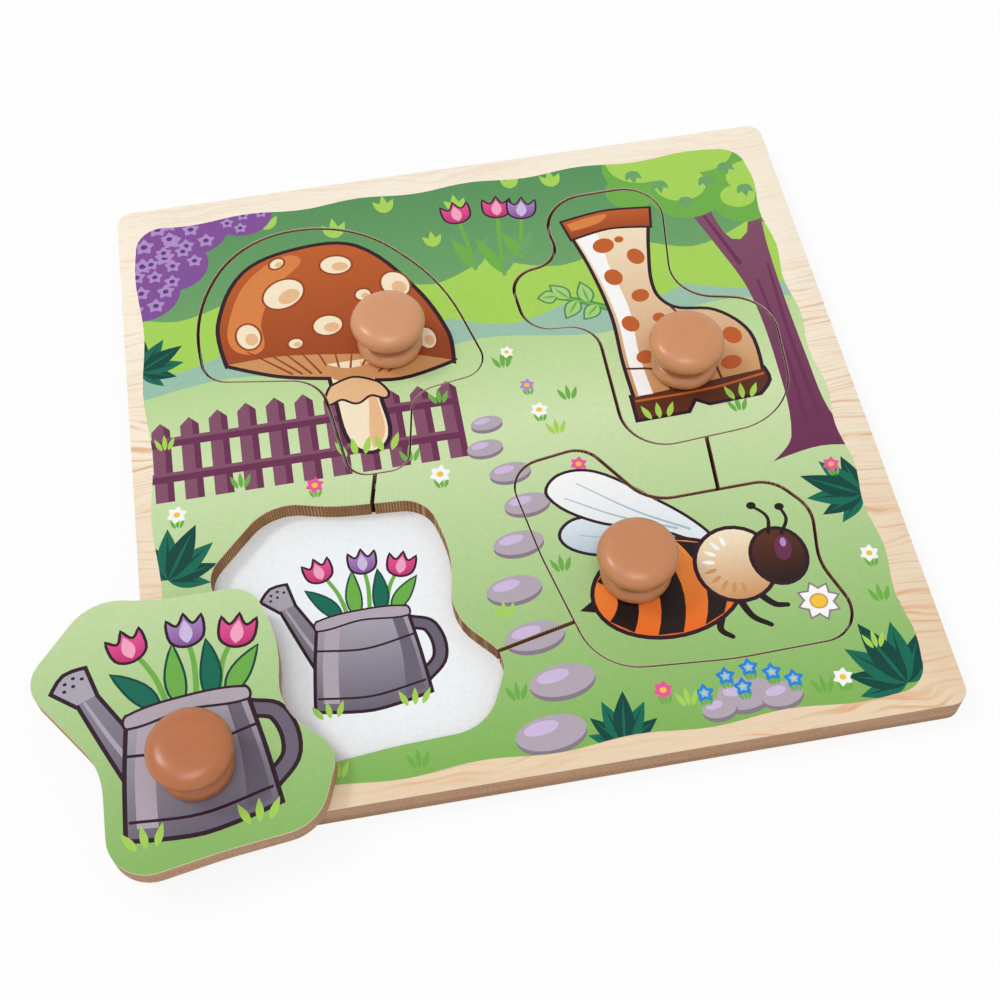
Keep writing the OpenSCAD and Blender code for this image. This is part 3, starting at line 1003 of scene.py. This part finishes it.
def ground():
    shapes = [([(-PAPER, -PAPER), (PAPER, -PAPER), (PAPER, 2), (-PAPER, 2)], ("lawn", "pale lawn")),
              ([(-PAPER, 2), (PAPER, 2), (PAPER, 62), (-PAPER, 62)], ("pale lawn", "far lawn"))]
    far_hill = [(-PAPER, 30, 0), (-80, 36), (-40, 30), (0, 37), (40, 32), (80, 38), (PAPER, 33, 0)]
    shapes.append((curve(far_hill + [(PAPER, PAPER, 0), (-PAPER, PAPER, 0)]), "mint"))
    shapes.append((scallops(41, 6, (-PAPER, -78, -44, -8, 32, 70, PAPER)), "sunny"))
    shapes.append((scallops(62, 8, (-PAPER, -72, -30, 8, 56, 98, PAPER + 30)), ("hedge", "deep hedge")))
    sprouts = ((-40, 88, 9), (-22, 96, 8), (-62, 96, 8), (2, 92, 8), (22, 99, 7), (36, 97, 8), (-8, 78, 7))
    for x, y, size in sprouts:
        for k in (-1, 0, 1):
            long = size * (1 - 0.15 * abs(k))
            shapes.append((blade(x, y, long, size * 0.34, 92 + 32 * k), "sunny"))
    return shapes


print("the ground has", len(ground()), "shapes")


# %% Fence and lilac bush
def fence():
    shapes = []
    for x in range(-112, -8, 9):
        top = 24 + 2 * sin(x * 0.07)
        left, right, shade = x - 2.9, x + 2.9, x + 0.9
        board = [(left, -7), (right, -7), (right, top - 3), (x, top), (left, top - 3)]
        dark_side = [(shade, -7), (right, -7), (right, top - 3), (shade, top - 0.9)]
        shapes += [(board, "mauve"), (dark_side, "plum")]
    for low in (0, 13):
        for start, ink in ((low, "plum"), (low + 2.4, "mauve")):
            shapes.append(([(-PAPER, start), (-12, start), (-12, low + 3.6), (-PAPER, low + 3.6)], ink))
    return shapes


def lilac_bush():
    heads = ((-104, 96, 15), (-88, 101, 13), (-106, 76, 13), (-95, 86, 12), (-70, 104, 10))
    shapes = [(oval(x, y, size, size * 0.92), "purple") for x, y, size in heads]
    for x, y, size in heads:
        for k in range(7):
            reach = size * 0.62 if k else 0
            u, v = turned_by(tau * k / 7 + x, reach, 0)
            shapes += daisy(x + u, y + v * 0.9, size * 0.24, "lilac", "deep purple", 5)
    return shapes


print("the fence has", len(fence()), "shapes and the bush", len(lilac_bush()))


# %% Tree
def tree():
    trunk = curve([(80, -26, 0), (88, -18), (91, 10), (90, 40), (84, 62), (78, 80, 0), (86, 82, 0), (93, 62),
                   (97, 86, 0), (104, 84, 0), (101, 58), (101, 10), (103, -14), (112, -26, 0), (96, -23)])
    shapes = [(trunk, ("plum", "mauve"))]
    cracks = ([(94, -14), (95, 12), (94, 44)], [(98.5, -12), (98, 20), (99, 50)],
              [(90, 52), (86, 66), (83, 76)])
    shapes += [(band(line, 1.6, 0.8), "plum") for line in cracks]
    for x, y, size in ((70, 100, 16), (92, 102, 18), (106, 84, 14), (80, 86, 13), (98, 78, 10), (62, 90, 9)):
        shapes.append((oval(x, y, size, size * 0.9), "leaf"))
    for x, y, size in ((68, 103, 12), (88, 105, 13), (104, 89, 9), (79, 90, 9), (97, 81, 6)):
        shapes.append((oval(x, y, size, size * 0.85), "sunny"))
    for x, y in ((72, 93), (88, 92), (100, 86), (64, 99), (79, 84), (96, 97)):
        shapes += [(blade(x, y, 6 - abs(k), 2.4, 269 + 34 * k), "hedge") for k in (-1, 0, 1)]
    return shapes


print("the tree has", len(tree()), "shapes")


# %% Path and flowers
def path_and_flowers():
    shapes = []
    path = ((-3, -101, 10), (3, -86, 9.4), (-2, -71, 8.8), (-5, -55, 8.2), (-1, -40, 7.6), (4, -27, 7),
            (1, -15, 6.4), (-5, -5, 5.6), (-3, 4, 5))
    for x, y, wide in path:
        shapes += stone(x, y, wide, 0.56)
    clumps = ((-104, -34, 20, 62), (-98, -104, 22, 70), (97, -104, 22, 112), (103, -42, 19, 150),
              (16, -108, 16, 80), (-108, 44, 16, 30))
    for x, y, size, turn in clumps:
        shapes += fan(x, y, size, turn)
    for x, y, wide in ((52, -99, 8), (62, -101, 6), (44, -102, 5)):
        shapes += stone(x, y, wide, 0.66)
    for x, y in ((48, -93), (55, -91.5), (61, -94), (66.5, -97), (41, -97), (52, -97)):
        shapes += tuft(x, y - 4, 4, "leaf") + daisy(x, y, 3, "blue", "yellow", 5)
        shapes += daisy(x, y, 1.5, "sky", "yellow", 5)
    shapes += tulip(4, 66, 21, -2, PINK_TULIP) + tulip(13, 62, 25, 2, PINK_TULIP)
    shapes += tulip(20, 68, 17, 3, LILAC_TULIP)
    flowers = {
        "white": ((-20, -12, 3.4), (14, 6, 3), (-100, -12, 3.2), (99, -62, 3), (80, -99, 3), (8, 30, 2.4)),
        "pink": ((22, -16, 2.8), (97, -30, 2.8), (-58, -9, 3), (30, -94, 3)),
        "lilac": ((12, 16, 2.6),),
    }
    for petal, spots in flowers.items():
        for x, y, size in spots:
            shapes += flower(x, y, size, petal)
    tufts = {
        "leaf": ((-28, -6), (10, -52), (98, -78), (24, 8), (6, 24), (75, -6), (-10, -90), (-80, -6),
                 (-40, -105), (74, -103), (-97, -52), (46, -4), (-16, 14)),
        "sunny": ((18, -4), (-9, -64), (92, -92), (-102, 12), (36, -100), (-62, -104), (-102, -70)),
    }
    for ink, spots in tufts.items():
        for x, y in spots:
            shapes += tuft(x, y, 6, ink)
    return shapes


print("the path and the flowers have", len(path_and_flowers()), "shapes")

# %% [markdown]
# The whole picture is the garden with the four things on top. Each thing has its drawing, the middle
# that it is drawn round, and its size on the board.

# %% Whole picture
PICTURES = {
    "mushroom": (mushroom, (-49.7, 49.6), 0.92),
    "boot": (boot, (51.0, 48.6), 0.87),
    "bee": (bee, (49.6, -50.8), 0.9),
    "can": (can, (-50.1, -51.2), 0.86),
}
picture = ground() + fence() + lilac_bush() + tree() + path_and_flowers()
for drawing, (x, y), size in PICTURES.values():
    picture += placed(drawing(), x, y, size)
print("picture has", len(picture), "shapes with", sum(len(loop) for loop, _ in picture), "points")

# %% [markdown]
# To turn the layered shapes into one flat sheet, the plane is cut along every outline at once. Each
# small triangle then takes the ink of the last shape that covers it. The saw lines are cut in as well,
# so the same triangles can be dealt out to the frame and the pieces. The fourth piece lies out of its
# recess, moved sideways and turned a little about its middle, so its outline is first taken home.

# %% Cut the picture into faces
LAY_SHIFT = (-51.0, -25.0)
LAY_TURN = radians(4.2)
LAY_MIDDLE = (-50.0, -50.0)
FRAY = 0.09


def lying(x, y):
    u, v = turned_by(LAY_TURN, x - LAY_MIDDLE[0], y - LAY_MIDDLE[1])
    return (LAY_MIDDLE[0] + LAY_SHIFT[0] + u, LAY_MIDDLE[1] + LAY_SHIFT[1] + v)


def back_home(x, y):
    u, v = turned_by(-LAY_TURN, x - LAY_MIDDLE[0] - LAY_SHIFT[0], y - LAY_MIDDLE[1] - LAY_SHIFT[1])
    return (LAY_MIDDLE[0] + u, LAY_MIDDLE[1] + v)


def cut(shapes, rims):
    """The plane cut along shapes and rims: points, triangles, their middles and the inks of their corners."""
    spots, faces, _ = triangulate(rims + [loop for loop, _ in shapes])
    middles = spots[faces].mean(axis=1)
    inks = np.ones((len(faces), 3, 4))
    for loop, ink in shapes:
        reach = np.array(loop)
        near = np.all((middles > reach.min(axis=0)) & (middles < reach.max(axis=0)), axis=1).nonzero()[0]
        covered = near[turns(loop, middles[near]) != 0]
        inks[covered] = laid_on(ink, loop, spots[faces[covered]])
    return spots, faces, middles, inks


home_rims = dict(piece_rims)
home_rims["can"] = [back_home(x, y) for x, y in piece_rims["can"]]
sawn_rims = [saw_rim] + list(home_rims.values())
frayed = [inset(rim, FRAY) for rim in sawn_rims]
spots, faces, middles, inks = cut(picture, [picture_rim] + sawn_rims + frayed)
print("the cut picture has", len(faces), "triangles")

# %% [markdown]
# The sheet on the frame is what lies inside its wavy rim and outside the saw line, and a piece's sheet
# is what lies inside its own outline. The saw frays the paper a little, so a hair's breadth along each
# cut has lost half of its ink.

# %% Deal out the picture
torn = np.array(colour(INKS["torn paper"]))


def paper_mesh(name, spots, faces, inks, rims, low, high, edge="torn paper"):
    """A sheet of paper: the inked top face, and its thin edge round the rims."""
    used, corners = np.unique(faces, return_inverse=True)
    points = [(x, y, high) for x, y in spots[used]]
    polygons = corners.reshape(-1, 3).tolist()
    for rim in rims:
        count = len(rim)
        ring = list(range(len(points), len(points) + count))
        points += [(x, y, low) for x, y in rim] + [(x, y, high) for x, y in rim]
        polygons += [(a, b, b + count, a + count) for a, b in zip(ring[-1:] + ring[:-1], ring)]
    mesh = bpy.data.meshes.new(name)
    mesh.from_pydata([[c * MM for c in p] for p in points], [], polygons)
    layer = mesh.color_attributes.new("ink", "FLOAT_COLOR", "CORNER")
    edge_inks = np.tile(colour(INKS[edge]), 4 * sum(len(rim) for rim in rims))
    layer.data.foreach_set("color", np.concatenate([inks.ravel(), edge_inks]))
    mesh.materials.append(print_finish)
    return mesh


def deal_out(name, body, inside, worn, laid_spots, rims):
    """One node's sheet: the triangles inside it, with half of the ink where they are worn."""
    shown = np.where(worn[:, None, None], (inks + torn) / 2, inks)[inside]
    low, high = heights(name + "_print")
    sheet = paper_mesh(name + "_picture", laid_spots, faces[inside], shown, rims, low, high)
    link(name + "_picture", sheet, body, name + "_print", name + "_print")
    print(name, "picture has", len(sheet.polygons), "faces")


inside = (turns(picture_rim, middles) + turns(saw_rim, middles)) == 1
deal_out("frame", "tray", inside, turns(frayed[0], middles) != 0, spots, [picture_rim, saw_rim])
for name, worn_rim in zip(NAMES, frayed[1:]):
    inside = turns(home_rims[name], middles) == 1
    worn = turns(worn_rim, middles) == 0
    laid_spots = np.array([lying(x, y) for x, y in spots]) if name == "can" else spots
    deal_out(name, name + "_piece", inside, worn, laid_spots, [piece_rims[name]])

# %% [markdown]
# On the floor of the recesses the four things are printed once more, at four fifths of their size, each
# on white a little wider than its recess. Under the frame the sheet is printed a near-black brown as
# painted shade, so the narrow slits look dark. Only the empty recess shows its picture, until another
# piece is lifted out.

# %% Floor of the recesses
FLOOR_SHARE = 0.8
WHITE_MARGIN = 1.6
(floor_rim,) = top_loops("floor_sheet")
# The sheet under the frame is printed near-black brown as painted shade, so the slits look dark.
floor_shapes = [(floor_rim, "painted slit shade")]
floor_shapes += [(grown(rim, WHITE_MARGIN), "floor white") for rim in home_rims.values()]
for drawing, (x, y), size in PICTURES.values():
    floor_shapes += placed(drawing(), x, y, size * FLOOR_SHARE)
spots, faces, middles, inks = cut(floor_shapes, [])
under = turns(floor_rim, middles) == 1
low, high = heights("floor_sheet")
sheet = paper_mesh("floor_picture", spots, faces[under], inks[under], [floor_rim], low, high, "seam")
link("floor_picture", sheet, "tray", "floor_print", "floor_sheet")
print("floor picture has", len(sheet.polygons), "faces")
